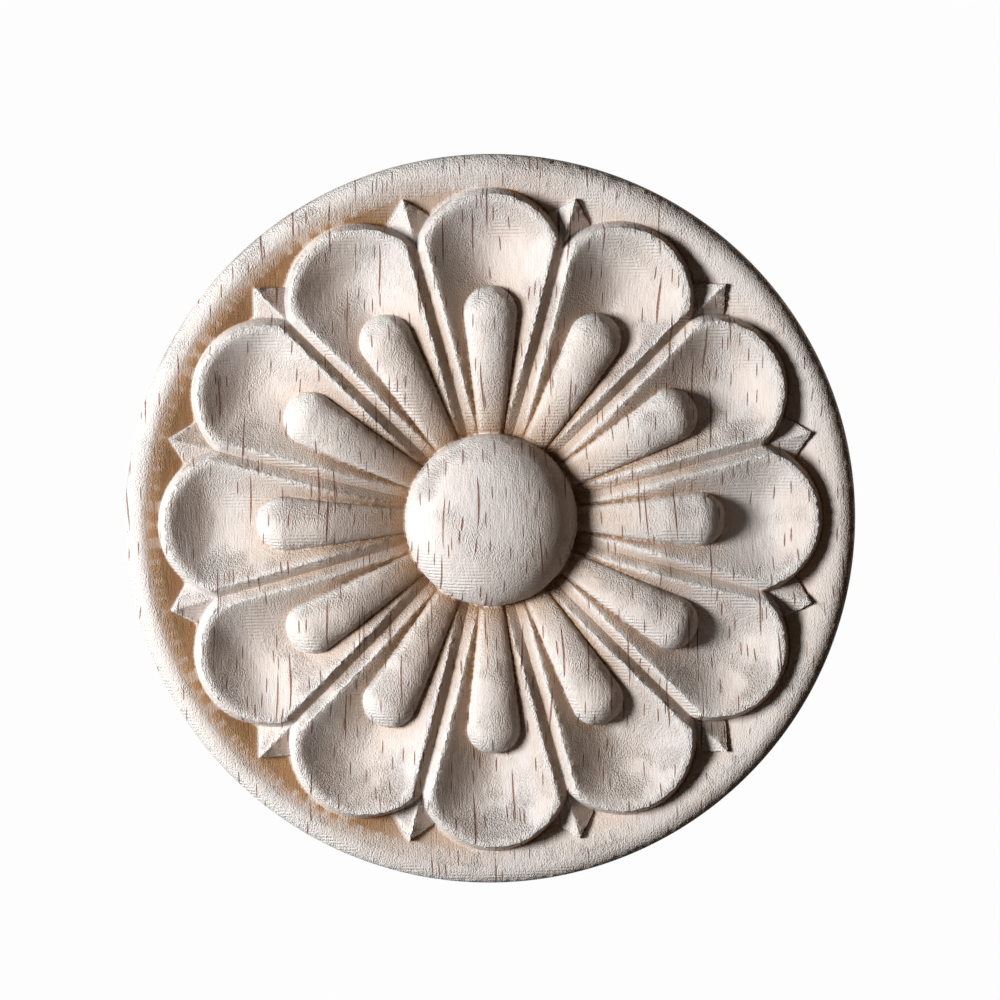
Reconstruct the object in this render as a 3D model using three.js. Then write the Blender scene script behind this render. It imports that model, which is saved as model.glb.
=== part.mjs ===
// Round carved rosette, cut from one piece of wood.
// Dished petals, each with a raised ray along its middle, stand round a domed button.
// Pointed sepals show between the petals, and a half-round rim closes the disc.
// The back lies on Y = 0, the carving faces -Y and Z is up. The origin is the centre of the back.
// Lengths are in millimetres and angles in degrees.

import * as THREE from 'three';
import { mergeVertices } from 'three/addons/utils/BufferGeometryUtils.js';

// Disc: the base is the wood between the back and the deepest floor of the pockets inside the rim
const discRadius = 40;
const baseThickness = 6.7;
const backEase = 0.4;

// Rim: a round bead, with a gentle slope down to the petals' feet and a steeper one into the pockets
const beadRadius = 1.7;
const beadRise = 1.7;
const rimSlopeAngle = 17;
const pocketSlopeAngle = 30;

// Petals: crests beside V grooves, a round cap beyond the shoulders, and a dish between the crests
// The crests fall towards the button in a curve, and the grooves get shallower there
const petalCount = 12;
const petalReach = 35.68;
const petalRise = 2.8;
const crestFall = 3.6;
const crestFallRun = 9.8;
const crestCurve = 1.45;
const capLength = 4.1;
const petalGap = 0.12;
const wallRun = 0.7;
const grooveHalfWidth = 1.02;
const grooveDepth = 0.95;
const grooveRootDepth = 0.4;
const dishDepth = 2.9;
const dishRun = 6.4;
const crestRounding = 0.25;
const crestLand = 0.42;
const landStart = 0.5;
const cornerSoftening = 1.2;

// Rays: round-topped clubs that widen from the button to a round end
const rayReach = 25.7;
const rayEndRadius = 2.95;
const rayEndProud = 1.0;
const rayRootProud = 0.6;
const channelRootWidth = 0.1;

// Sepals: roof-like points between the petals
const sepalGap = 0.3;
const sepalWallRun = 0.15;
const sepalEdgeAngle = 45;
const sepalTipRise = 1.9;
const sepalRootRise = 1.2;
const sepalLip = 0.1;

// Button: a full dome, standing proud of the petals' crests
const buttonRadius = 9.5;
const buttonRise = 2.5;
const buttonFullness = 2.6;
const buttonRoundness = 2.2;

// Numbers of facets in half a petal
const raySideFacets = 5;
const shoulderFacets = 2;
const sepalFootFacets = 2;
const capFacets = 3;
const rayRows = 4;
const dishRows = 4;
const rimFacets = 5;
const beadFacets = 6;
const buttonFacets = 4;
const buttonRows = 5;

const woodColour = 0xe3d3c2;
const mergeDistance = 1e-3;

// Derived places. Plan points are (u, v): v runs out along the petal's axis and u to its right.
const halfSector = Math.PI / petalCount;
const rimSlope = THREE.MathUtils.degToRad(rimSlopeAngle);
const beadCentre = discRadius - beadRadius;
const shoulderLevel = baseThickness + beadRise - beadRadius;
const slopeTopRadius = beadCentre - beadRadius * Math.sin(rimSlope);
const slopeTopLevel = shoulderLevel + beadRadius * Math.cos(rimSlope);
const footReach = petalReach + wallRun;
const innerRimRadius = footReach + petalGap;
const innerRimLevel = slopeTopLevel - (slopeTopRadius - innerRimRadius) * Math.tan(rimSlope);
const crestTipLevel = baseThickness + petalRise;
const grooveRootLevel = crestTipLevel - crestFall - grooveRootDepth;
const buttonHeight = crestTipLevel + buttonRise - grooveRootLevel;
const rayEndCentre = rayReach - rayEndRadius;
const sepalTipRadius = innerRimRadius - sepalGap;

const plan = (u, v) => new THREE.Vector2(u, v);
const raised = (point, height) => new THREE.Vector3(point.x, point.y, height);
const polar = (radius, angle) => plan(radius * Math.sin(angle), radius * Math.cos(angle));
const blend = (from, to, share) => from + (to - from) * share;
const steps = (count, make) => Array.from({ length: count + 1 }, (_, i) => make(i / count));

// A point at a distance along the groove between two petals, set in from it by an offset
function besideGroove(along, offset) {
  const out = polar(1, halfSector);
  return plan(along * out.x - offset * out.y, along * out.y + offset * out.x);
}

// The distance along the groove at which a point set in by an offset is at a given radius
const alongAtRadius = (radius, offset) => Math.sqrt(radius ** 2 - offset ** 2);

// The petal's shoulder ends its straight crest, and the cap's arc runs from there to the tip
const shoulderAlong = petalReach - capLength;
const shoulder = besideGroove(shoulderAlong, grooveHalfWidth);
const capCentre = (petalReach ** 2 - shoulder.lengthSq()) / (2 * (petalReach - shoulder.y));
const capRadius = petalReach - capCentre;
const footRadius = footReach - capCentre;
const capPoint = (radius, angle) => plan(0, capCentre).add(polar(radius, angle));

// Where the feet of two neighbouring petals meet, on the groove's line
function footMeeting() {
  const middle = capCentre * Math.cos(halfSector);
  return middle + Math.sqrt(footRadius ** 2 - (capCentre * Math.sin(halfSector)) ** 2);
}

// The angle round the cap's centre at which a sepal's edge, run back from its tip, meets the petal's foot
function sepalEdgeMeeting(tipRadius) {
  const heading = halfSector + Math.PI + THREE.MathUtils.degToRad(sepalEdgeAngle);
  const edge = polar(1, heading);
  const tip = polar(tipRadius, halfSector).sub(plan(0, capCentre));
  const back = -tip.dot(edge);
  const length = back - Math.sqrt(back ** 2 - tip.lengthSq() + footRadius ** 2);
  const meeting = tip.addScaledVector(edge, length);
  return Math.atan2(meeting.x, meeting.y);
}

// Share of the way from the button to where the crests are level
const crestShare = (point) => Math.min((point.length() - buttonRadius) / crestFallRun, 1);

const crestLevel = (point) => crestTipLevel - crestFall * (1 - crestShare(point)) ** crestCurve;

function grooveLevel(point) {
  return crestLevel(point) - blend(grooveRootDepth, grooveDepth, crestShare(point));
}

// Floor of the pockets, level at its deepest and then up to the inner edge of the rim
function floorLevel(point) {
  const steepness = Math.tan(THREE.MathUtils.degToRad(pocketSlopeAngle));
  const onSlope = innerRimLevel - (innerRimRadius - point.length()) * steepness;
  return Math.max(onSlope, baseThickness);
}

// How far a plan point lies inside the petal's crest, softened where the crest turns its corner
function insideCrest(point) {
  const fromGroove = point.y * Math.sin(halfSector) - point.x * Math.cos(halfSector);
  const fromSide = fromGroove - grooveHalfWidth;
  const fromCap = capRadius - point.distanceTo(plan(0, capCentre));
  const overlap = Math.max(cornerSoftening - Math.abs(fromSide - fromCap), 0);
  const nearest = Math.min(fromSide, fromCap) - overlap ** 2 / (4 * cornerSoftening);
  return point.y > shoulder.y - capLength ? Math.max(nearest, 0) : Math.max(fromSide, 0);
}

// The dish's surface; round the cap a narrow land is left along the crest
function dishLevel(point) {
  const capShare = Math.min(Math.max((point.y - shoulder.y) / capLength + landStart, 0), 1);
  const distance = Math.max(insideCrest(point) - crestLand * capShare, 0);
  const inside = Math.hypot(distance, crestRounding) - crestRounding;
  const share = Math.min(inside / dishRun, 1);
  return crestLevel(point) - dishDepth * Math.sin(share * Math.PI / 2);
}

// Ray: its side leaves the button just inside the crest and runs tangent to the round end
const rayRootAlong = alongAtRadius(buttonRadius, grooveHalfWidth + channelRootWidth);
const rayRoot = besideGroove(rayRootAlong, grooveHalfWidth + channelRootWidth);
const rayEnd = plan(0, rayEndCentre);
const rayLean = Math.asin(rayEndRadius / rayRoot.distanceTo(rayEnd))
  - Math.atan2(rayRoot.x, rayEndCentre - rayRoot.y);
const raySideEnd = rayEnd.clone().add(polar(rayEndRadius, Math.PI / 2 + rayLean));

function rayTopLevel(point) {
  const share = (point.y - buttonRadius) / (rayEndCentre - buttonRadius);
  return crestLevel(point) + blend(rayRootProud, rayEndProud, share);
}

// Angles round the cap's centre of the foot's corners, from the meeting of two feet to the tip
const meetingAlong = footMeeting();
const meeting = polar(meetingAlong, halfSector);
const meetingAngle = Math.atan2(meeting.x, meeting.y - capCentre);
const edgeAngle = sepalEdgeMeeting(sepalTipRadius);
const edgeFootAngle = sepalEdgeMeeting(sepalTipRadius + sepalWallRun);
const sepalAngles = steps(sepalFootFacets, (share) => blend(meetingAngle, edgeAngle, share));
const openAngles = steps(capFacets, (share) => blend(edgeFootAngle, 0, share));
const footAngles = [...sepalAngles, ...openAngles];
const shoulderAngle = Math.atan2(shoulder.x, shoulder.y - capCentre);
const capAngles = footAngles.map((angle) => angle * shoulderAngle / meetingAngle);

// Straight part of the crest, from the button past the ray's side to the shoulder
function crestSide() {
  const start = alongAtRadius(buttonRadius, grooveHalfWidth);
  const waist = raySideEnd.dot(polar(1, halfSector));
  const beside = steps(raySideFacets, (share) => blend(start, waist, share));
  const beyond = steps(shoulderFacets, (share) => blend(waist, shoulderAlong, share));
  return [...beside, ...beyond.slice(1)];
}

// Crest line of half a petal, from the button to the tip; the shoulder is there twice
function crestRow() {
  const side = crestSide().map((along) => besideGroove(along, grooveHalfWidth));
  return [...side, ...capAngles.map((angle) => capPoint(capRadius, angle))];
}

// Outline of the ray's foot, with a point for each point of the crest line
function rayFootRow(length) {
  const side = steps(raySideFacets, (share) => rayRoot.clone().lerp(raySideEnd, share));
  const startAngle = Math.PI / 2 + rayLean;
  const end = steps(length - side.length, (share) => rayEnd.clone()
    .add(polar(rayEndRadius, blend(startAngle, 0, share))));
  return [...side, ...end.slice(1)];
}

// The ray's surface is a half-ellipse across, from its top line down to the foot
function raySurface(foot) {
  return steps(rayRows, (share) => {
    const across = Math.sin(share * Math.PI / 2);
    return foot.map((edge, i) => {
      const top = plan(0, Math.min(edge.y, rayEndCentre));
      if (i === 0) top.y = buttonRadius;
      const point = top.clone().lerp(edge, across);
      if (i === 0) point.setLength(buttonRadius);
      const rise = rayTopLevel(top) - dishLevel(edge);
      return raised(point, dishLevel(edge) + rise * Math.sqrt(1 - across ** 2));
    });
  });
}

function dishSurface(foot, crest) {
  return steps(dishRows, (share) => foot.map((inner, i) => {
    const point = crest[i].clone().lerp(inner, (1 - share) ** 2);
    if (i === 0) point.setLength(buttonRadius);
    return raised(point, share === 1 ? crestLevel(point) : dishLevel(point));
  }));
}

const onFloor = (point) => raised(point, floorLevel(point));

// A sepal's facet is the plane through its root, its tip and the corner where its edge meets the petal
const sepalTip = raised(polar(sepalTipRadius, halfSector), baseThickness + sepalTipRise);
const sepalTipFoot = onFloor(polar(sepalTipRadius + sepalWallRun, halfSector));
const sepalRoot = raised(meeting, baseThickness + sepalRootRise);
const sepalCorner = raised(capPoint(footRadius, edgeAngle), baseThickness + sepalLip);
const sepalFacet = new THREE.Plane().setFromCoplanarPoints(sepalRoot, sepalTip, sepalCorner);

function onSepalFacet(point) {
  const { normal, constant } = sepalFacet;
  return raised(point, -(constant + normal.x * point.x + normal.y * point.y) / normal.z);
}

// Bottom of the groove, then the foot of the cap's wall, first on the sepal and then on the pocket floor
function grooveAndFootRow() {
  const side = crestSide();
  const grooveEnd = meetingAlong - wallRun;
  const groove = side.map((along, i) => {
    const share = (along - side[0]) / (shoulderAlong - side[0]);
    const point = polar(i === 0 ? buttonRadius : blend(buttonRadius, grooveEnd, share), halfSector);
    return raised(point, grooveLevel(point));
  });
  const onSepal = sepalAngles.map((angle) => onSepalFacet(capPoint(footRadius, angle)));
  const inPocket = openAngles.map((angle) => onFloor(capPoint(footRadius, angle)));
  return { groove, onSepal, inPocket };
}

const ring = (radius, height, facets) =>
  steps(facets, (share) => raised(polar(radius, share * halfSector), height));

// Rings of the rim from its inner slope over the bead to the outer edge, and round to the back
function rimRings() {
  const bead = steps(beadFacets, (share) => {
    const turn = (Math.PI / 2 + rimSlope) * (1 - share);
    const height = shoulderLevel + beadRadius * Math.sin(turn);
    return ring(beadCentre + beadRadius * Math.cos(turn), height, rimFacets);
  });
  return [
    ring(innerRimRadius, innerRimLevel, rimFacets),
    ...bead,
    ring(discRadius, backEase, rimFacets),
    ring(discRadius - backEase, 0, rimFacets),
  ];
}

// Rings of the button from beside its foot to its crown
function buttonRings() {
  const rings = steps(buttonRows, (share) => {
    const across = Math.cos(share * Math.PI / 2);
    const height = buttonHeight * (1 - across ** buttonFullness) ** (1 / buttonRoundness);
    return ring(buttonRadius * across, grooveRootLevel + height, buttonFacets);
  });
  return rings.slice(1, -1);
}

const triangles = [];
const addTriangle = (a, b, c) => {
  if (!a.equals(b) && !b.equals(c) && !c.equals(a)) triangles.push([a, b, c]);
};

// Joins two rows with as many points each; the first lies to the left of the second, or outside it
function joinEven(first, second) {
  for (let i = 0; i + 1 < first.length; i += 1) {
    addTriangle(first[i], second[i], first[i + 1]);
    addTriangle(second[i], second[i + 1], first[i + 1]);
  }
}

// Joins two rows of any length, always by the shorter of the two next diagonals
function joinUneven(first, second) {
  let [i, j] = [0, 0];
  while (i + 1 < first.length || j + 1 < second.length) {
    const onFirst = i + 1 < first.length ? first[i + 1].distanceTo(second[j]) : Infinity;
    const onSecond = j + 1 < second.length ? second[j + 1].distanceTo(first[i]) : Infinity;
    if (onFirst < onSecond) {
      addTriangle(first[i], second[j], first[i + 1]);
      i += 1;
    } else {
      addTriangle(first[i], second[j], second[j + 1]);
      j += 1;
    }
  }
}

function joinRows(rows) {
  rows.slice(1).forEach((row, i) => joinEven(rows[i], row));
}

// Half a petal with its share of the button, rim and back
function halfPetal() {
  const crest = crestRow();
  const foot = rayFootRow(crest.length);
  const ray = raySurface(foot);
  const dish = dishSurface(foot, crest);
  const { groove, onSepal, inPocket } = grooveAndFootRow();
  const rows = [...ray, ...dish.slice(1), [...groove, ...onSepal, ...inPocket]];
  joinRows(rows);

  joinUneven([sepalTip], [...onSepal].reverse());
  joinEven([inPocket[0], sepalTipFoot], [onSepal.at(-1), sepalTip]);

  const rim = rimRings();
  joinUneven(rim[0], [...[...inPocket].reverse(), sepalTipFoot]);
  rim.slice(1).forEach((outer, i) => joinEven(outer, rim[i]));
  joinUneven([new THREE.Vector3(0, 0, 0)], rim.at(-1));

  const button = buttonRings();
  joinUneven(rows.map((row) => row[0]), button[0]);
  button.slice(1).forEach((inner, i) => joinEven(button[i], inner));
  joinUneven(button.at(-1), [new THREE.Vector3(0, 0, grooveRootLevel + buttonHeight)]);
}

// Turns the half petal, and its mirror image, round the disc
function rosetteGeometry() {
  halfPetal();
  const positions = [];
  const place = (point, side, turn) => {
    const u = point.x * side;
    const x = u * Math.cos(turn) + point.y * Math.sin(turn);
    const z = point.y * Math.cos(turn) - u * Math.sin(turn);
    positions.push(x, -point.z, z);
  };
  for (let petal = 0; petal < petalCount; petal += 1) {
    const turn = petal * 2 * halfSector;
    triangles.forEach(([a, b, c]) => {
      [a, b, c].forEach((point) => place(point, 1, turn));
      [a, c, b].forEach((point) => place(point, -1, turn));
    });
  }
  const geometry = new THREE.BufferGeometry();
  geometry.setAttribute('position', new THREE.Float32BufferAttribute(positions, 3));
  return mergeVertices(geometry, mergeDistance);
}

const wood = new THREE.MeshStandardMaterial({
  color: woodColour, roughness: 0.85, metalness: 0, flatShading: true,
});
const rosette = new THREE.Mesh(rosetteGeometry(), wood);
rosette.name = 'rosette';

const model = new THREE.Group();
model.add(rosette);
export default model;
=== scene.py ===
import math

import bmesh
import bpy
import numpy as np
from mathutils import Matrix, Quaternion, Vector, noise
from mathutils.geometry import delaunay_2d_cdt


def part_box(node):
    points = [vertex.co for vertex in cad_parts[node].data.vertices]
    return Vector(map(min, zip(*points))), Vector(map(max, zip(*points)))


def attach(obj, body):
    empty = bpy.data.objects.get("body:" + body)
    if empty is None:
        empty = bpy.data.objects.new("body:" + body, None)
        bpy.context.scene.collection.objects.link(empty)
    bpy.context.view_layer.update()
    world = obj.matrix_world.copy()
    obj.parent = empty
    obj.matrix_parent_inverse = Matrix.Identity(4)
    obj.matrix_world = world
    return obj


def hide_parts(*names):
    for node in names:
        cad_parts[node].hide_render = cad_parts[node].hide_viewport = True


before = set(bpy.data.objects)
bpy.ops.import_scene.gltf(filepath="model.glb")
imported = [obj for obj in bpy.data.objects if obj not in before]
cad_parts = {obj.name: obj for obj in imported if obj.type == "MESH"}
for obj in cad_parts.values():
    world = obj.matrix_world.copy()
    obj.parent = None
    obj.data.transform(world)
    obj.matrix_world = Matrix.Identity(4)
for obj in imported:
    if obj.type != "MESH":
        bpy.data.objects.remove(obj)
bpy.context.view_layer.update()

# Round carved rosette of bare rubberwood, seen as it hangs: the back lies on Y = 0, the carving
# faces -Y and the grain runs along Z. The carving is worked out in millimetres as a height over
# the back, in the plan of half a petal: v runs out along the petal's axis, and u to its right.

MM = 0.001
LOW, HIGH = (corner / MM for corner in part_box("rosette"))

# Disc; its radius and the button's top are the frame's
DISC_RADIUS = (HIGH.x - LOW.x) / 2
BUTTON_TOP = HIGH.y - LOW.y
BASE_THICKNESS = 6.7
BACK_EASE = 0.4

# Rim
BEAD_RADIUS = 1.7
BEAD_RISE = 1.7
RIM_SLOPE = math.radians(17)
POCKET_SLOPE = math.radians(30)

# Petals
PETALS = 12
PETAL_REACH = 35.68
PETAL_RISE = 2.8
CREST_FALL = 3.6
CREST_FALL_RUN = 9.8
CREST_CURVE = 1.45
CAP_LENGTH = 4.1
PETAL_GAP = 0.12
WALL_RUN = 0.7
GROOVE_HALF_WIDTH = 1.02
GROOVE_DEPTH = 0.95
GROOVE_ROOT_DEPTH = 0.4
DISH_DEPTH = 2.9
DISH_RUN = 6.4
CREST_ROUNDING = 0.25
CREST_LAND = 0.42
LAND_START = 0.5
CORNER_SOFTENING = 1.2

# Rays
RAY_REACH = 25.7
RAY_END_RADIUS = 2.95
RAY_END_PROUD = 1.0
RAY_ROOT_PROUD = 0.6
CHANNEL_ROOT_WIDTH = 0.1

# Sepals
SEPAL_GAP = 0.3
SEPAL_WALL_RUN = 0.15
SEPAL_EDGE_ANGLE = math.radians(45)
SEPAL_TIP_RISE = 1.9
SEPAL_ROOT_RISE = 1.2
SEPAL_LIP = 0.1

# Button
BUTTON_RADIUS = 9.5
BUTTON_FULLNESS = 2.6
BUTTON_ROUNDNESS = 2.2

# Fineness of the mesh; lengths are in millimetres
SPACING = 0.262
RIM_SPACING = 0.30
CREST_LIP = 0.14
SLIVER = 5e-4
WELD = 2e-3
BEAD_STEPS = 10
WALL_ROWS = 5
BACK_RING_SHARES = (0.7, 0.4)
RAY_EDGE_SHARES = (0.94, 1)
GROOVE_END_INSET = WALL_RUN / 3
LEAST_GAP = 0.55 * SPACING
SAME_POINT = 1e-5
NO_LENGTH = 1e-9
NO_AREA = 1e-12
BUTTON_FOOT_SHARE = 0.9
SHARP_ANGLE = math.radians(38)

# Reach of the painted tan shade and of what counts as an edge, in millimetres
CHANNEL_SHADE_REACH = 2.0
ROOT_SHADE_REACH = 4.5
GUTTER_EDGE = 0.2
EDGE_REACH = 0.45
EDGE_DROP = 0.14
EDGE_RING_POINTS = 16

# How strong the painted tan shade is where the cut is deep: 1 is full tan, and over 1 is browner still
CHANNEL_END_SHARE = 0.4
ROOT_SHARE = 0.75
GROOVE_SHARE = 0.45
GROOVE_FADE = 1.3
SEPAL_SHARE = 0.2
WALL_FOOT_SHARE = 0.5
RIM_SLOPE_SHARE = 0.55

# Ragged edges and lifted fibres, in millimetres; the grains are how many to a millimetre, and the
# start sets one pattern apart from another
FIBRE_LIFT = 0.03
EDGE_TEAR = 0.15
FIBRE_GRAIN = np.array([1.6, 1.6, 0.8])
TEAR_GRAIN = np.array([2.3, 2.3, 2.3])
SHIFT_START = 50

# Sizes in millimetres of the slow changes in the wood: its bent grain, torn patches and blotches.
# The start sets them apart from the patterns above
SLOW_GRAINS = {"wander": (12, 40, 30), "patch": (5, 5, 5), "blotch": (8, 8, 20)}
SLOW_START = 90
SLOW_ROUGHNESS, SLOW_LACUNARITY, SLOW_OCTAVES = 0.7, 2, 3

# The back is sawn flat and plain, the same all over
BACK_VALUES = {"wander": 0, "patch": -1, "blotch": 0}
BACK_FACING = 0.5

# Fine grain of the wood, in millimetres: the fuzz of cut fibres, the strands along the grain, the
# cutter's ridges, and the vessels with the half-width of each as a share of its cell
FUZZ_GRAIN, FUZZ_DETAIL = (0.16, 0.16, 0.21), 3.0
STRAND_GRAIN, STRAND_DETAIL = (0.2, 1.7), 1.0
RIDGE_PITCH = 0.37
RIDGE_WAVER = 3.0
SHORT_VESSELS = ((0.6, 7), 0.13)
LONG_VESSELS = ((1.0, 30), 0.11)
VESSELS_KEPT = 0.5
VESSEL_CORE = 0.55

# How far the grain is pushed aside, in millimetres, and how it leans as the cut goes deeper
WANDER_PUSH = 1.0
FUZZ_PUSH = 0.14
DEPTH_PUSH = 0.8
DEPTH_ALONG = 2.0

# The inner part of the carving is the rougher, and the painted shade in its hollows is browner there and
# shows on every side; it fades out between these radii
INNER_RADIUS, INNER_END_RADIUS = 22, 32

# Heights of the fine relief, in millimetres, over the middle value of its noise
NOISE_MIDDLE = 0.5
SOUND_RELIEF = 0.07
TORN_RELIEF = 0.5
STRAND_RELIEF = 0.04
RIDGE_RELIEF = 0.032
VESSEL_DEPTH = 0.14

# Ramps: where a value starts and ends, then what it gives at its start and its end
VESSELS_IN_SHADE = (0.3, 0.8, 1, 0.2)
TORN_BY_SLOPE = (-0.1, 0.4, 0.35, 1)
TORN_BY_PATCH = (-0.35, 0.5)
TORN_BY_SHADE = (0.5, 0.75, 1, 0.1)
RIDGES_BY_SLOPE = (-0.1, -0.5, 0, RIDGE_RELIEF)
RIDGES_BY_PATCH = (0.2, -0.2)
CREAM_BY_BLOTCH = (-0.4, 0.4)
STRANDS_SHOWN = (0.35, 0.7, 0, 0.3)
PIT_SHADE_SHOWN = (0.5, 0.3)
# Painted shade: tan by how far a side faces away from the light and on the flanks, browner in the deepest
# hollows and near the middle
SHADE_BY_SIDE = (-0.05, 0.35, 0.08, 1)
FLANK_SHADE = (0.1, 0.6, 0, 0.3)
DEEP_SHADE_BY_HOLLOW = (0.95, 1.5)
INNER_DEEP_SHADE = (0.4, 1, 0, 0.8)
# Painted highlight: the lifted white on edges grows as an edge faces the light
HIGHLIGHT_BY_SIDE = (0.2, -0.2, 0.15, 0.9)
RAGGED_SHARE = 0.8
PIT_SHADE_SHARE = 0.5
VESSEL_SHARE = 0.8

# Colours of the wood, with the painted tan and brown shade, the painted shade of the pits and the white of
# lifted fibres with its painted highlight
PALE, CREAM = "#dad4d1", "#d8cec7"
STRAND_COLOUR = "#c5b6a9"
PIT_SHADE_COLOUR = "#a08876"
SHADE_TAN_COLOUR = "#b68e69"
DEEP_SHADE_COLOUR = "#a07a56"
LIFTED_FIBRE_HIGHLIGHT_COLOUR = "#f6f3f0"
VESSEL_COLOUR = "#86492a"
WOOD_ROUGHNESS = 0.85
WOOD_SHINE = 0.2

# Camera: the photograph's frame is 1000 pixels wide and the disc is 726 of them across. The disc's
# axis, taken AIM_LEVEL millimetres over the back, is seen at CENTRE_PIXEL. Distances are in metres
FRAME_PIXELS = 1000
DISC_PIXELS = 726
PIXEL = 2 * DISC_RADIUS * MM / DISC_PIXELS
CENTRE_PIXEL = (490.3, 518.1)
CAMERA_DISTANCE = 0.5
CAMERA_AZIMUTH = math.radians(-2.5)
CAMERA_ELEVATION = math.radians(4)
CAMERA_ROLL = math.radians(-0.45)
CAMERA_CLIP = (0.01, 20)
SENSOR_WIDTH = 36
AIM_LEVEL = 3.6

# Floor; lengths are in metres
FLOOR_RADIUS = 2.0
FLOOR_LEVEL = -0.6
FLOOR_SIDES = 96
FLOOR_COLOUR = "#e9e8e6"
FLOOR_GLOW = "#c4c3c0"
FLOOR_ROUGHNESS = 0.9

# Lights: direction clockwise from up round the face and off the face, in degrees, then distance and
# size in metres, power in watts and colour
WINDOW = (275, 36, 0.4, 0.14, 2.6, "#ffffff")
BEHIND = (60, -50, 2.0, 1.0, 20, "#fff6ec")
AMBIENT_COLOUR = "#e0b98f"
AMBIENT_STRENGTH = 0.04
BACKDROP_COLOUR = "#fefdfe"

# Derived places
HALF_SECTOR = math.pi / PETALS
SIDE = np.array([math.sin(HALF_SECTOR), math.cos(HALF_SECTOR)])
BEAD_CENTRE = DISC_RADIUS - BEAD_RADIUS
SHOULDER_LEVEL = BASE_THICKNESS + BEAD_RISE - BEAD_RADIUS
SLOPE_TOP_RADIUS = BEAD_CENTRE - BEAD_RADIUS * math.sin(RIM_SLOPE)
SLOPE_TOP_LEVEL = SHOULDER_LEVEL + BEAD_RADIUS * math.cos(RIM_SLOPE)
FOOT_REACH = PETAL_REACH + WALL_RUN
RIM_FOOT = FOOT_REACH + PETAL_GAP
RIM_FOOT_LEVEL = SLOPE_TOP_LEVEL - (SLOPE_TOP_RADIUS - RIM_FOOT) * math.tan(RIM_SLOPE)
CREST_TIP_LEVEL = BASE_THICKNESS + PETAL_RISE
GROOVE_ROOT_LEVEL = CREST_TIP_LEVEL - CREST_FALL - GROOVE_ROOT_DEPTH
BUTTON_HEIGHT = BUTTON_TOP - GROOVE_ROOT_LEVEL
RAY_CENTRE = RAY_REACH - RAY_END_RADIUS
SEPAL_TIP = RIM_FOOT - SEPAL_GAP


def length(points):
    return np.hypot(points[..., 0], points[..., 1])


def polar(radius, angle):
    """Plan points at a distance and a clockwise angle from the petal's axis."""
    return np.stack([radius * np.sin(angle), radius * np.cos(angle)], -1)


def beside_groove(along, offset):
    """Plan points along the groove between two petals, set in from it."""
    return np.stack([along * SIDE[0] - offset * SIDE[1], along * SIDE[1] + offset * SIDE[0]], -1)


SHOULDER_ALONG = PETAL_REACH - CAP_LENGTH
SHOULDER = beside_groove(SHOULDER_ALONG, GROOVE_HALF_WIDTH)
CAP_CENTRE = (PETAL_REACH ** 2 - SHOULDER @ SHOULDER) / (2 * (PETAL_REACH - SHOULDER[1]))
CAP = np.array([0.0, CAP_CENTRE])
CAP_RADIUS = PETAL_REACH - CAP_CENTRE
FOOT_RADIUS = FOOT_REACH - CAP_CENTRE
RAY_END = np.array([0.0, RAY_CENTRE])


def groove_at(cap_distance):
    """Distance along the groove's line of its outer point that is this far from the cap's centre."""
    return CAP_CENTRE * SIDE[1] + math.sqrt(cap_distance ** 2 - (CAP_CENTRE * SIDE[0]) ** 2)


MEETING = groove_at(FOOT_RADIUS)
GROOVE_END = MEETING - WALL_RUN


def sepal_corner(tip):
    """Where a sepal's edge, run back from its tip, meets the foot of the petal's cap."""
    edge = polar(1.0, HALF_SECTOR + math.pi + SEPAL_EDGE_ANGLE)
    start = SIDE * tip - CAP
    back = -start @ edge
    return CAP + start + edge * (back - math.sqrt(back ** 2 - start @ start + FOOT_RADIUS ** 2))


def ray_side():
    """The ray's side: its root, the end of its straight, and its lean from the petal's axis."""
    offset = GROOVE_HALF_WIDTH + CHANNEL_ROOT_WIDTH
    root = beside_groove(math.sqrt(BUTTON_RADIUS ** 2 - offset ** 2), offset)
    reach = math.hypot(root[0], RAY_CENTRE - root[1])
    lean = math.asin(RAY_END_RADIUS / reach) - math.atan2(root[0], RAY_CENTRE - root[1])
    return root, RAY_END + polar(RAY_END_RADIUS, math.pi / 2 + lean), lean


RAY_ROOT, RAY_SIDE_END, RAY_LEAN = ray_side()


def crest_share(points):
    """Share of the way from the button to where the crests are level."""
    return np.clip((length(points) - BUTTON_RADIUS) / CREST_FALL_RUN, 0, 1)


def crest_level(points):
    return CREST_TIP_LEVEL - CREST_FALL * (1 - crest_share(points)) ** CREST_CURVE


def groove_depth(points):
    return GROOVE_ROOT_DEPTH + (GROOVE_DEPTH - GROOVE_ROOT_DEPTH) * crest_share(points)


def floor_level(radius):
    """Floor of the pockets, level at its deepest and then up to the inner edge of the rim."""
    return np.maximum(RIM_FOOT_LEVEL - (RIM_FOOT - radius) * math.tan(POCKET_SLOPE), BASE_THICKNESS)


def from_groove(points):
    return points[..., 1] * SIDE[0] - points[..., 0] * SIDE[1]


def inside_crest(points):
    """How far plan points lie inside the petal's crest, softened where it turns its corner."""
    side = from_groove(points) - GROOVE_HALF_WIDTH
    cap = CAP_RADIUS - length(points - CAP)
    overlap = np.maximum(CORNER_SOFTENING - np.abs(side - cap), 0)
    nearest = np.minimum(side, cap) - overlap ** 2 / (4 * CORNER_SOFTENING)
    in_cap = points[..., 1] > SHOULDER[1] - CAP_LENGTH
    return np.maximum(np.where(in_cap, nearest, side), 0)


def dish_level(points):
    """The dish's surface; round the cap a narrow land is left along the crest."""
    cap_share = np.clip((points[..., 1] - SHOULDER[1]) / CAP_LENGTH + LAND_START, 0, 1)
    inside = np.maximum(inside_crest(points) - CREST_LAND * cap_share, 0)
    inside = np.hypot(inside, CREST_ROUNDING) - CREST_ROUNDING
    share = np.minimum(inside / DISH_RUN, 1)
    return crest_level(points) - DISH_DEPTH * np.sin(share * math.pi / 2)


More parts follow.
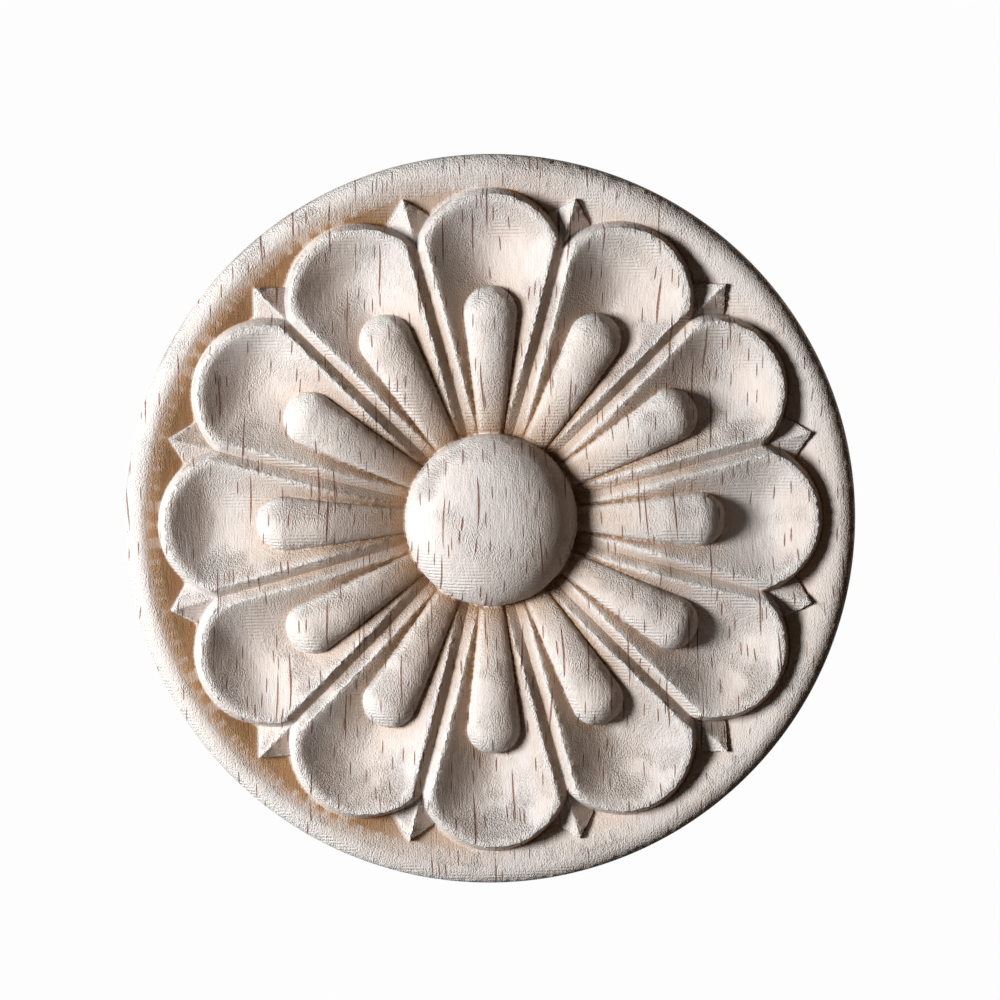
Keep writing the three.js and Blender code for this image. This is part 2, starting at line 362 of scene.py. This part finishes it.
def ray_level(points):
    """The ray's surface where it stands, and the share of its half-width that each point is at."""
    u, v = points[..., 0], points[..., 1]
    half_width = RAY_ROOT[0] + (v - RAY_ROOT[1]) * math.tan(RAY_LEAN)
    outward = points - RAY_END
    distance = np.maximum(length(outward), NO_LENGTH)
    along = (points - RAY_SIDE_END) @ polar(1.0, RAY_LEAN)
    on_end = along > 0
    across = np.where(on_end, distance / RAY_END_RADIUS, u / half_width)
    round_foot = RAY_END + outward * (RAY_END_RADIUS / distance)[..., None]
    foot = np.where(on_end[..., None], round_foot, np.stack([half_width, v], -1))
    base = dish_level(foot)
    top_v = np.minimum(v, RAY_CENTRE)
    top = np.stack([np.zeros_like(top_v), top_v], -1)
    share = (top_v - BUTTON_RADIUS) / (RAY_CENTRE - BUTTON_RADIUS)
    proud = RAY_ROOT_PROUD + (RAY_END_PROUD - RAY_ROOT_PROUD) * share
    rise = crest_level(top) + proud - base
    return base + rise * np.sqrt(np.maximum(1 - across ** 2, 0)), across


def pocket_level(points):
    """The sepal's flat facet, its steep edge, and the pocket's floor beyond it."""
    root, tip, corner = SIDE * MEETING, SIDE * SEPAL_TIP, sepal_corner(SEPAL_TIP)
    plan = np.array([[*root, 1], [*tip, 1], [*corner, 1]])
    rises = np.array([SEPAL_ROOT_RISE, SEPAL_TIP_RISE, SEPAL_LIP])
    facet = np.linalg.solve(plan, BASE_THICKNESS + rises)
    floor = floor_level(length(points))
    rise = points @ facet[:2] + facet[2] - floor
    edge = corner - tip
    outside = ((points - tip) @ np.array([-edge[1], edge[0]])) / np.hypot(*edge)
    run = SEPAL_WALL_RUN * math.sin(SEPAL_EDGE_ANGLE)
    left = 1 - np.clip(-outside / run, 0, 1)
    return floor + np.maximum(rise, 0) * left


def rim_level(radius):
    across = np.clip((radius - BEAD_CENTRE) / BEAD_RADIUS, -1, 1)
    across = np.where(radius > DISC_RADIUS - SLIVER, 1, across)
    bead = SHOULDER_LEVEL + BEAD_RADIUS * np.sqrt(1 - across ** 2)
    slope = SLOPE_TOP_LEVEL - (SLOPE_TOP_RADIUS - radius) * math.tan(RIM_SLOPE)
    return np.where(radius < SLOPE_TOP_RADIUS, slope, bead)


def button_level(radius):
    across = np.minimum(radius / BUTTON_RADIUS, 1)
    full = (1 - across ** BUTTON_FULLNESS) ** (1 / BUTTON_ROUNDNESS)
    return GROOVE_ROOT_LEVEL + BUTTON_HEIGHT * full


def carved_level(points):
    """Height of the carving over the back at any plan point of half a petal."""
    radius = length(points)
    offset = from_groove(points)
    ray, across = ray_level(points)
    top = np.where(across < 1, ray, dish_level(points))
    flank = crest_level(points) - groove_depth(points) * (1 - offset / GROOVE_HALF_WIDTH)
    top = np.where(offset < GROOVE_HALF_WIDTH, flank, top)
    beyond = np.clip((length(points - CAP) - CAP_RADIUS) / WALL_RUN, 0, 1)
    beyond = np.where(points[:, 1] > CAP_CENTRE, beyond, 0)
    crest = crest_level(points)
    wall = crest + (pocket_level(points) - crest) * beyond
    level = np.where(beyond > 0, np.minimum(top, wall), top)
    level = np.where(radius > RIM_FOOT, rim_level(radius), level)
    under = np.where(radius > BUTTON_RADIUS * BUTTON_FOOT_SHARE, level, 0)
    return np.where(radius < BUTTON_RADIUS - SLIVER, np.maximum(button_level(radius), under), level)


def stretch(start, end, spacing):
    count = max(int(math.ceil(np.hypot(*(end - start)) / spacing)), 1)
    return start + (end - start) * np.linspace(0, 1, count + 1)[:, None]


def arc(centre, radius, start, end, spacing):
    count = max(int(math.ceil(abs(end - start) * radius / spacing)), 1)
    return centre + polar(radius, np.linspace(start, end, count + 1))


def cap_angle(point):
    return math.atan2(point[0], point[1] - CAP_CENTRE)


def crest_line(inset, spacing):
    """The petal's crest from the button to the tip, set inwards from its true line."""
    offset = GROOVE_HALF_WIDTH + inset
    radius = CAP_RADIUS - inset
    start = beside_groove(math.sqrt(BUTTON_RADIUS ** 2 - offset ** 2), offset)
    reach = math.sqrt(radius ** 2 - (CAP_CENTRE * SIDE[0] - offset) ** 2)
    corner = beside_groove(CAP_CENTRE * SIDE[1] + reach, offset)
    straight = stretch(start, corner, spacing)
    return np.concatenate([straight, arc(CAP, radius, cap_angle(corner), 0, spacing)[1:]])


def ray_line(share, spacing):
    """The ray's outline at a share of its half-width."""
    scale = np.array([share, 1])
    start = RAY_ROOT * scale
    start[1] = math.sqrt(BUTTON_RADIUS ** 2 - start[0] ** 2)
    straight = stretch(start, RAY_END + (RAY_SIDE_END - RAY_END) * share, spacing)
    radius = RAY_END_RADIUS * share
    return np.concatenate([straight, arc(RAY_END, radius, math.pi / 2 + RAY_LEAN, 0, spacing)[1:]])


def plan_lines():
    """Every line of half a petal's plan that the mesh has to follow."""
    turns = np.linspace(math.pi / 2 + RIM_SLOPE, 0, BEAD_STEPS + 1)[:-1]
    rings = [RIM_FOOT, *(BEAD_CENTRE + BEAD_RADIUS * math.cos(turn) for turn in turns)]
    lines = [arc(np.zeros(2), r, 0, HALF_SECTOR, RIM_SPACING) for r in [*rings, DISC_RADIUS]]
    near = [BUTTON_RADIUS, BUTTON_RADIUS - CREST_LIP]
    lines += [arc(np.zeros(2), r, 0, HALF_SECTOR, SPACING) for r in near]
    lines += [crest_line(inset, SPACING) for inset in (0, CREST_LIP)]
    lines += [ray_line(share, SPACING) for share in RAY_EDGE_SHARES]
    lines.append(arc(CAP, FOOT_RADIUS, cap_angle(SIDE * MEETING), 0, SPACING))
    for tip in (SEPAL_TIP, SEPAL_TIP + SEPAL_WALL_RUN):
        lines.append(stretch(SIDE * tip, sepal_corner(tip), SPACING))
    groove_stop = GROOVE_END - GROOVE_END_INSET
    lines.append(stretch(SHOULDER, SIDE * groove_stop, SPACING))
    stops = [0, BUTTON_RADIUS - CREST_LIP, BUTTON_RADIUS]
    axis = [*stops, RAY_CENTRE, RAY_REACH, PETAL_REACH, FOOT_REACH, *rings, DISC_RADIUS]
    side = [*stops, groove_stop, GROOVE_END, MEETING, SEPAL_TIP, SEPAL_TIP + SEPAL_WALL_RUN]
    side += [*rings, DISC_RADIUS]
    for direction, marks in ((np.array([0.0, 1.0]), axis), (SIDE, side)):
        parts = [stretch(direction * a, direction * b, SPACING) for a, b in zip(marks, marks[1:])]
        lines.append(np.concatenate([parts[0], *(part[1:] for part in parts[1:])]))
    return lines


def half_petal_plan():
    """Plan points and triangles of half a petal, on its lines and evenly spread between them."""
    lines = plan_lines()
    on_lines = np.concatenate(lines)
    row = SPACING * math.sqrt(3) / 2
    v, u = np.mgrid[0:RIM_FOOT:row, 0:DISC_RADIUS * SIDE[0]:SPACING]
    u = u + SPACING / 2 * (np.arange(len(u)) % 2)[:, None]
    free = np.stack([u.ravel(), v.ravel()], -1)
    free = free[(from_groove(free) > 0) & (length(free) < RIM_FOOT)]
    gap = np.full(len(free), np.inf)
    for line in lines:
        for a, b in zip(line, line[1:]):
            span = b - a
            share = np.clip((free - a) @ span / max(span @ span, NO_AREA), 0, 1)
            gap = np.minimum(gap, length(free - a - share[:, None] * span))
    gap = np.minimum(gap, free[:, 0])
    free = free[gap > LEAST_GAP]
    points = np.concatenate([on_lines, free])
    edges, start = [], 0
    for line in lines:
        edges += [(start + i, start + i + 1) for i in range(len(line) - 1)]
        start += len(line)
    made = delaunay_2d_cdt([Vector(p) for p in points], edges, [], 0, SAME_POINT, False)
    plan = np.array([tuple(p) for p in made[0]])
    faces = np.array([face for face in made[2] if len(face) == 3])
    a, b, c = (plan[faces[:, i]] for i in range(3))
    turned_over = np.cross(b - a, c - a) < 0
    faces[turned_over] = faces[turned_over][:, ::-1]
    # Points along a straight side of the plan leave slivers of no area between them
    on_axis, on_groove = np.abs(plan[:, 0]) < SLIVER, np.abs(from_groove(plan)) < SLIVER
    sliver = on_axis[faces].all(1) | on_groove[faces].all(1)
    return plan, faces[~sliver]


def outer_rings():
    """Side wall and back of half a petal, as rows of points from the bead's edge to the middle."""
    steps = int(math.ceil(HALF_SECTOR * DISC_RADIUS / RIM_SPACING))
    angles = np.linspace(0, HALF_SECTOR, steps + 1)
    back_radii = [DISC_RADIUS - BACK_EASE, *(DISC_RADIUS * share for share in BACK_RING_SHARES)]
    levels = [*np.linspace(SHOULDER_LEVEL, BACK_EASE, WALL_ROWS), *(0 for _ in back_radii)]
    radii = [DISC_RADIUS] * WALL_ROWS + back_radii
    rows = [np.column_stack([polar(r, angles), np.full(steps + 1, z)]) for r, z in zip(radii, levels)]
    points = np.concatenate([*rows, [[0, 0, 0]]])
    faces = []
    for k in range(len(rows) - 1):
        for i in range(steps):
            a, b = k * (steps + 1) + i, (k + 1) * (steps + 1) + i
            faces += [(a, a + 1, b + 1), (a, b + 1, b)]
    last, centre = (len(rows) - 1) * (steps + 1), len(points) - 1
    faces += [(last + i, last + i + 1, centre) for i in range(steps)]
    return points, np.array(faces)


def folded(points):
    """Plan points anywhere on the disc, brought back into half a petal."""
    turn = (np.arctan2(points[..., 0], points[..., 1]) + HALF_SECTOR) % (2 * HALF_SECTOR) - HALF_SECTOR
    return polar(length(points), np.abs(turn))


def standing_out(points, reach):
    """How far the surface stands above the mean of a ring round it."""
    ring = polar(reach, np.linspace(0, 2 * math.pi, EDGE_RING_POINTS + 1)[:-1])
    around = np.mean([carved_level(folded(points + offset)) for offset in ring], axis=0)
    return carved_level(points) - around


def painted_shade_share(points):
    """How strong the painted tan shade is in the hollows: inside the rim, beside the rays and down in the
    grooves.
    """
    radius = length(points)
    across = ray_level(points)[1]
    along = np.minimum(points[:, 1], RAY_CENTRE) - RAY_ROOT[1]
    beside = (across - 1) * (RAY_ROOT[0] + along * math.tan(RAY_LEAN))
    inward = np.clip((RAY_REACH - radius) / (RAY_REACH - BUTTON_RADIUS), 0, 1)
    channel = CHANNEL_END_SHARE + (1 - CHANNEL_END_SHARE) * inward
    channel = np.exp(-np.maximum(beside, 0) / CHANNEL_SHADE_REACH) * channel
    root = ROOT_SHARE * np.exp(-np.maximum(radius - BUTTON_RADIUS, 0) / ROOT_SHADE_REACH)
    channel = np.where(beside > 0, np.maximum(channel, root), root)
    from_root = from_groove(points) / GROOVE_HALF_WIDTH
    groove = GROOVE_SHARE * np.clip(GROOVE_FADE * (1 - from_root), 0, 1)
    groove = np.maximum(groove, root)
    share = np.where(from_groove(points) < GROOVE_HALF_WIDTH, groove, channel)
    past_wall = (length(points - CAP) > FOOT_RADIUS - SLIVER) & (points[:, 1] > CAP_CENTRE)
    on_sepal = pocket_level(points) > floor_level(radius) + SEPAL_LIP
    near_wall = np.exp(-np.maximum(length(points - CAP) - FOOT_RADIUS, 0) / CHANNEL_SHADE_REACH)
    pocket = np.where(on_sepal, SEPAL_SHARE, 1 + WALL_FOOT_SHARE * near_wall)
    pocket = np.where(radius < RIM_FOOT, pocket, RIM_SLOPE_SHARE)
    share = np.where(past_wall, pocket, share)
    share = np.where(radius > SLOPE_TOP_RADIUS + GUTTER_EDGE, 0, share)
    return np.where(radius < BUTTON_RADIUS, 0, share)


def turned(points, side, turn):
    """Half a petal's points in the row frame, mirrored or not and turned round the disc."""
    u, v, level = points[:, 0] * side, points[:, 1], points[:, 2]
    x = u * math.cos(turn) + v * math.sin(turn)
    z = v * math.cos(turn) - u * math.sin(turn)
    return np.column_stack([x, -level, z])


def vertex_values(vertices, name, width):
    values = np.zeros(len(vertices) * width)
    vertices.foreach_get(name, values)
    return values.reshape(-1, width)


def roughen(mesh):
    """Leaves ragged edges and lifted fibres, and notes the slope and the slow changes in the wood."""
    places = vertex_values(mesh.vertices, "co", 3) / MM
    facing_right, facing_back, facing_up = vertex_values(mesh.vertices, "normal", 3).T
    edge = vertex_values(mesh.attributes["edge"].data, "value", 1)[:, 0]
    carved = -places[:, 1] > SHOULDER_LEVEL
    lift = np.array([noise.noise(Vector(p * FIBRE_GRAIN)) for p in places])
    tear = np.array([noise.noise(Vector(p * TEAR_GRAIN)) for p in places])
    shift = np.array([noise.noise(Vector(p * TEAR_GRAIN + SHIFT_START)) for p in places])
    places[:, 1] -= carved * (FIBRE_LIFT * lift + EDGE_TEAR * edge * tear)
    places[:, 0] += carved * EDGE_TEAR * edge * shift
    places[:, 2] += carved * EDGE_TEAR * edge * lift
    mesh.vertices.foreach_set("co", (places * MM).ravel())
    slow = {}
    for name, grain in SLOW_GRAINS.items():
        spots = [Vector(p / np.array(grain) + SLOW_START) for p in places]
        settings = (SLOW_ROUGHNESS, SLOW_LACUNARITY, SLOW_OCTAVES)
        slow[name] = np.array([noise.fractal(spot, *settings) for spot in spots])
        slow[name][facing_back > BACK_FACING] = BACK_VALUES[name]
    facing = {"facing_up": facing_up, "facing_right": facing_right}
    for name, values in (*facing.items(), *slow.items()):
        mesh.attributes.new(name, "FLOAT", "POINT").data.foreach_set("value", values)


def carved_mesh():
    plan, faces = half_petal_plan()
    front = np.column_stack([plan, carved_level(plan)])
    outer, outer_faces = outer_rings()
    half = np.concatenate([front, outer])
    half_faces = np.concatenate([faces, outer_faces + len(front)])
    none = np.zeros(len(outer))
    # Painted tan shade of the hollows, kept on the mesh as an attribute for the wood's material
    hollow_shade = np.concatenate([painted_shade_share(plan), none])
    edge = np.concatenate([np.clip(standing_out(plan, EDGE_REACH) / EDGE_DROP, 0, 1), none])
    points, triangles = [], []
    for petal in range(PETALS):
        for side in (1, -1):
            start = len(points) * len(half)
            points.append(turned(half, side, petal * 2 * HALF_SECTOR))
            triangles.append(half_faces[:, ::side] + start)
    mesh = bpy.data.meshes.new("carved_rosette")
    mesh.from_pydata((np.concatenate(points) * MM).tolist(), [], np.concatenate(triangles).tolist())
    for name, values in (("hollow_shade", hollow_shade), ("edge", edge)):
        mesh.attributes.new(name, "FLOAT", "POINT").data.foreach_set("value", np.tile(values, 2 * PETALS))
    work = bmesh.new()
    work.from_mesh(mesh)
    bmesh.ops.remove_doubles(work, verts=work.verts, dist=WELD * MM)
    work.to_mesh(mesh)
    work.free()
    roughen(mesh)
    mesh.shade_smooth()
    mesh.set_sharp_from_angle(angle=SHARP_ANGLE)
    return mesh


def make_rosette():
    piece = bpy.data.objects.new("carved_rosette", carved_mesh())
    bpy.context.scene.collection.objects.link(piece)
    return piece


def linear(hex_colour):
    """An sRGB hex colour as the linear values that the shader takes."""
    parts = [int(hex_colour[i:i + 2], 16) / 255 for i in (1, 3, 5)]
    return [c / 12.92 if c <= 0.04045 else ((c + 0.055) / 1.055) ** 2.4 for c in parts] + [1.0]


def add_node(tree, kind, links=(), **settings):
    """Adds a node with its settings and links; a setting named by a socket sets that input."""
    node = tree.nodes.new(kind)
    for name, value in settings.items():
        if name in node.inputs:
            node.inputs[name].default_value = value
        else:
            setattr(node, name, value)
    for source, target in links:
        tree.links.new(source, node.inputs[target])
    return node


class Shader:
    """A material's node tree, with the few kinds of node that the wood is made of."""

    def __init__(self, name):
        self.material = bpy.data.materials.new(name)
        self.material.use_nodes = True
        self.tree = self.material.node_tree
        self.surface = self.tree.nodes["Principled BSDF"]
        self.place = add_node(self.tree, "ShaderNodeTexCoord").outputs["Object"]

    def stretched(self, place, grain):
        """Coordinates in which a grain of this size, in millimetres, is one unit."""
        scale = [*(1 / (size * MM) for size in grain), 1][:3]
        return add_node(self.tree, "ShaderNodeMapping", [(place, "Vector")], Scale=scale).outputs[0]

    def noise(self, grain, detail, place=None):
        place = self.stretched(place or self.place, grain)
        settings = {"noise_dimensions": f"{len(grain)}D", "Scale": 1.0, "Detail": detail}
        return add_node(self.tree, "ShaderNodeTexNoise", [(place, "Vector")], **settings)

    def attribute(self, name):
        return add_node(self.tree, "ShaderNodeAttribute", attribute_name=name).outputs["Fac"]

    def ramp(self, value, low, high, bottom=0.0, top=1.0):
        settings = {"From Min": low, "From Max": high, "To Min": bottom, "To Max": top}
        node = add_node(self.tree, "ShaderNodeMapRange", interpolation_type="SMOOTHSTEP", **settings)
        self.tree.links.new(value, node.inputs["Value"])
        return node.outputs["Result"]

    def math(self, operation, *values):
        node = add_node(self.tree, "ShaderNodeMath", operation=operation)
        for socket, value in zip(node.inputs, values):
            if isinstance(value, (int, float)):
                socket.default_value = value
            else:
                self.tree.links.new(value, socket)
        return node.outputs[0]

    def mix(self, share, first, second):
        """One colour over another; each is a hex colour or a socket."""
        node = add_node(self.tree, "ShaderNodeMix", data_type="RGBA")
        colours = [socket for socket in node.inputs if socket.type == "RGBA"]
        for socket, value in zip(colours, (first, second)):
            if isinstance(value, str):
                socket.default_value = linear(value)
            else:
                self.tree.links.new(value, socket)
        self.tree.links.new(share, node.inputs["Factor"])
        return [socket for socket in node.outputs if socket.type == "RGBA"][0]


def vessels(shader, place, grain, width):
    """Vessels of the wood cut open: long thin spots along the grain, of which only a share is kept."""
    place = shader.stretched(place, grain)
    spots = add_node(shader.tree, "ShaderNodeTexVoronoi", voronoi_dimensions="2D", Scale=1.0)
    shader.tree.links.new(place, spots.inputs["Vector"])
    part = add_node(shader.tree, "ShaderNodeSeparateColor", [(spots.outputs["Color"], "Color")])
    chosen = shader.math("LESS_THAN", part.outputs[0], VESSELS_KEPT)
    spot = shader.ramp(spots.outputs["Distance"], width, width * VESSEL_CORE)
    return shader.math("MULTIPLY", spot, chosen)


def bare_wood():
    """Bare carved rubberwood: pale, with red-brown vessels and fuzzy edges, tan painted shade in the
    hollows and on sides facing away from the light, and a painted highlight on edges facing it.
    """
    shader = Shader("rubberwood_carved")
    tree = shader.tree
    hollow_shade, edge = shader.attribute("hollow_shade"), shader.attribute("edge")
    facing_up = shader.attribute("facing_up")

    # The grain wanders: the place is pushed aside slowly along it, and finely by the fibres
    part = add_node(tree, "ShaderNodeSeparateXYZ", [(shader.place, 0)])
    rough = shader.noise(FUZZ_GRAIN, FUZZ_DETAIL).outputs[0]
    push = shader.math("MULTIPLY_ADD", shader.attribute("wander"), WANDER_PUSH * MM, part.outputs["X"])
    push = shader.math("MULTIPLY_ADD", rough, FUZZ_PUSH * MM, push)
    depth = shader.math("MAXIMUM", shader.math("ADD", part.outputs["Y"], BASE_THICKNESS * MM), 0)
    push = shader.math("MULTIPLY_ADD", depth, DEPTH_PUSH, push)
    along = shader.math("MULTIPLY_ADD", depth, DEPTH_ALONG, part.outputs["Z"])
    place = add_node(tree, "ShaderNodeCombineXYZ", [(push, 0), (along, 1)]).outputs[0]
    reach = add_node(tree, "ShaderNodeVectorMath", [(shader.place, 0)], operation="LENGTH").outputs["Value"]
    inner = shader.ramp(reach, INNER_RADIUS * MM, INNER_END_RADIUS * MM, 1, 0)
    short = vessels(shader, place, *SHORT_VESSELS)
    long = vessels(shader, place, *LONG_VESSELS)
    vessel = shader.math("MAXIMUM", short, long)
    vessel = shader.math("MULTIPLY", vessel, shader.ramp(hollow_shade, *VESSELS_IN_SHADE))

    # Fibres run along the grain; torn ones stand up in patches that face along it
    fibre = shader.noise(STRAND_GRAIN, STRAND_DETAIL, place).outputs[0]
    patch = shader.attribute("patch")
    torn = shader.ramp(facing_up, *TORN_BY_SLOPE)
    torn = shader.math("MULTIPLY", torn, shader.ramp(patch, *TORN_BY_PATCH))
    bared = shader.math("MAXIMUM", inner, shader.ramp(hollow_shade, *TORN_BY_SHADE))
    torn = shader.math("MULTIPLY", torn, bared)
    ragged = shader.math("MAXIMUM", edge, shader.math("MULTIPLY", inner, hollow_shade))
    torn = shader.math("MAXIMUM", torn, shader.math("MULTIPLY", ragged, RAGGED_SHARE))
    relief = shader.math("MULTIPLY_ADD", torn, TORN_RELIEF, SOUND_RELIEF)
    height = shader.math("MULTIPLY", shader.math("SUBTRACT", rough, NOISE_MIDDLE), relief)
    height = shader.math("MULTIPLY_ADD", fibre, STRAND_RELIEF, height)

    # Ridges that the cutter left line by line, where the surface faces down the grain
    turn = shader.math("MULTIPLY", part.outputs["Z"], 2 * math.pi / (RIDGE_PITCH * MM))
    turn = shader.math("MULTIPLY_ADD", rough, RIDGE_WAVER, turn)
    lined = shader.ramp(facing_up, *RIDGES_BY_SLOPE)
    lined = shader.math("MULTIPLY", lined, shader.ramp(patch, *RIDGES_BY_PATCH))
    height = shader.math("MULTIPLY_ADD", shader.math("SINE", turn), lined, height)
    height = shader.math("MULTIPLY_ADD", vessel, -VESSEL_DEPTH, height)
    bump = add_node(tree, "ShaderNodeBump", [(height, "Height")], Strength=1.0, Distance=MM)
    tree.links.new(bump.outputs[0], shader.surface.inputs["Normal"])

    # Colour: blotchy cream, painted shade in the pits of the torn grain, painted tan and brown shade where
    # the cut is deep and on sides facing away from the light, white where fibres are lifted with a painted
    # highlight where they face the light, brown vessels
    colour = shader.mix(shader.ramp(shader.attribute("blotch"), *CREAM_BY_BLOTCH), PALE, CREAM)
    colour = shader.mix(shader.ramp(fibre, *STRANDS_SHOWN), colour, STRAND_COLOUR)
    # Painted shade: the pits of the torn grain are darkened
    pit_shade = shader.math("MULTIPLY", shader.ramp(rough, *PIT_SHADE_SHOWN), torn)
    colour = shader.mix(shader.math("MULTIPLY", pit_shade, PIT_SHADE_SHARE), colour, PIT_SHADE_COLOUR)
    facing_right = shader.attribute("facing_right")
    # Painted shade: tan on the sides that face away from the light and in the hollows, and browner where
    # the hollows are deepest
    away = shader.math("MAXIMUM", shader.ramp(facing_right, *SHADE_BY_SIDE), inner)
    tan = shader.math("MULTIPLY_ADD", hollow_shade, away, shader.ramp(facing_right, *FLANK_SHADE))
    colour = shader.mix(shader.math("MINIMUM", tan, 1.0), colour, SHADE_TAN_COLOUR)
    deep = shader.math("MULTIPLY", shader.ramp(hollow_shade, *DEEP_SHADE_BY_HOLLOW), away)
    inner_deep = shader.math("MULTIPLY", inner, shader.ramp(hollow_shade, *INNER_DEEP_SHADE))
    colour = shader.mix(shader.math("MAXIMUM", deep, inner_deep), colour, DEEP_SHADE_COLOUR)
    # Painted highlight: the white of lifted fibres on the edges is strongest where they face the light
    lifted = shader.math("MULTIPLY", edge, shader.ramp(facing_right, *HIGHLIGHT_BY_SIDE))
    colour = shader.mix(lifted, colour, LIFTED_FIBRE_HIGHLIGHT_COLOUR)
    colour = shader.mix(shader.math("MULTIPLY", vessel, VESSEL_SHARE), colour, VESSEL_COLOUR)
    tree.links.new(colour, shader.surface.inputs["Base Color"])
    shader.surface.inputs["Roughness"].default_value = WOOD_ROUGHNESS
    shader.surface.inputs["Specular IOR Level"].default_value = WOOD_SHINE
    return shader.material


def place_camera():
    level = math.cos(CAMERA_ELEVATION)
    across, ahead = math.sin(CAMERA_AZIMUTH) * level, -math.cos(CAMERA_AZIMUTH) * level
    sight = Vector((across, ahead, math.sin(CAMERA_ELEVATION)))
    camera = bpy.data.cameras.new("camera")
    camera.sensor_width = SENSOR_WIDTH
    camera.lens = SENSOR_WIDTH * CAMERA_DISTANCE / (FRAME_PIXELS * PIXEL)
    camera.clip_start, camera.clip_end = CAMERA_CLIP
    holder = bpy.data.objects.new("camera", camera)
    bpy.context.scene.collection.objects.link(holder)
    holder.rotation_mode = "QUATERNION"
    roll = Quaternion(sight, CAMERA_ROLL)
    holder.rotation_quaternion = roll @ (-sight).to_track_quat("-Z", "Y")
    right = holder.rotation_quaternion @ Vector((1, 0, 0))
    up = holder.rotation_quaternion @ Vector((0, 1, 0))
    middle = Vector((0, -AIM_LEVEL * MM, 0))
    aside, below = FRAME_PIXELS / 2 - CENTRE_PIXEL[0], CENTRE_PIXEL[1] - FRAME_PIXELS / 2
    aim = middle + right * aside * PIXEL + up * below * PIXEL
    holder.location = aim + sight * CAMERA_DISTANCE
    bpy.context.scene.camera = holder


def area_light(name, clock, elevation, distance, size, power, colour):
    """A soft light; clock is its direction clockwise from up round the face, elevation off the face."""
    light = bpy.data.lights.new(name, "AREA")
    light.shape, light.size, light.energy = "DISK", size, power
    light.color = linear(colour)[:3]
    holder = bpy.data.objects.new(name, light)
    holder.visible_camera = False
    bpy.context.scene.collection.objects.link(holder)
    a, e = math.radians(clock), math.radians(elevation)
    sight = Vector((math.sin(a) * math.cos(e), -math.sin(e), math.cos(a) * math.cos(e)))
    holder.location = sight * distance
    holder.rotation_mode = "QUATERNION"
    holder.rotation_quaternion = sight.to_track_quat("Z", "Y")


def make_floor():
    """A plain pale floor, well below the piece as it hangs, which throws no light back at it."""
    mesh = bpy.data.meshes.new("floor")
    turns = np.linspace(0, 2 * math.pi, FLOOR_SIDES + 1)[:-1]
    corners = [(*polar(FLOOR_RADIUS, -turn), FLOOR_LEVEL) for turn in turns]
    mesh.from_pydata(corners, [], [range(FLOOR_SIDES)])
    paint = Shader("floor_painted_matt")
    paint.surface.inputs["Base Color"].default_value = linear(FLOOR_COLOUR)
    paint.surface.inputs["Roughness"].default_value = FLOOR_ROUGHNESS
    paint.surface.inputs["Emission Color"].default_value = linear(FLOOR_GLOW)
    paint.surface.inputs["Emission Strength"].default_value = 1.0
    mesh.materials.append(paint.material)
    floor = bpy.data.objects.new("floor", mesh)
    floor.visible_diffuse = False
    bpy.context.scene.collection.objects.link(floor)


def light_scene():
    area_light("window", *WINDOW)
    area_light("behind", *BEHIND)
    world = bpy.data.worlds.new("studio")
    world.use_nodes = True
    tree = world.node_tree
    ground = tree.nodes["Background"]
    ground.inputs["Color"].default_value = linear(AMBIENT_COLOUR)
    ground.inputs["Strength"].default_value = AMBIENT_STRENGTH
    seen = add_node(tree, "ShaderNodeBackground", Color=linear(BACKDROP_COLOUR), Strength=1.0)
    path = add_node(tree, "ShaderNodeLightPath")
    mix = add_node(tree, "ShaderNodeMixShader")
    tree.links.new(path.outputs["Is Camera Ray"], mix.inputs[0])
    tree.links.new(ground.outputs[0], mix.inputs[1])
    tree.links.new(seen.outputs[0], mix.inputs[2])
    tree.links.new(mix.outputs[0], tree.nodes["World Output"].inputs["Surface"])
    bpy.context.scene.world = world
    bpy.context.scene.view_settings.view_transform = "Standard"


place_camera()
light_scene()
make_floor()
rosette = make_rosette()
rosette.data.materials.append(bare_wood())
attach(rosette, "root")
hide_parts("rosette")
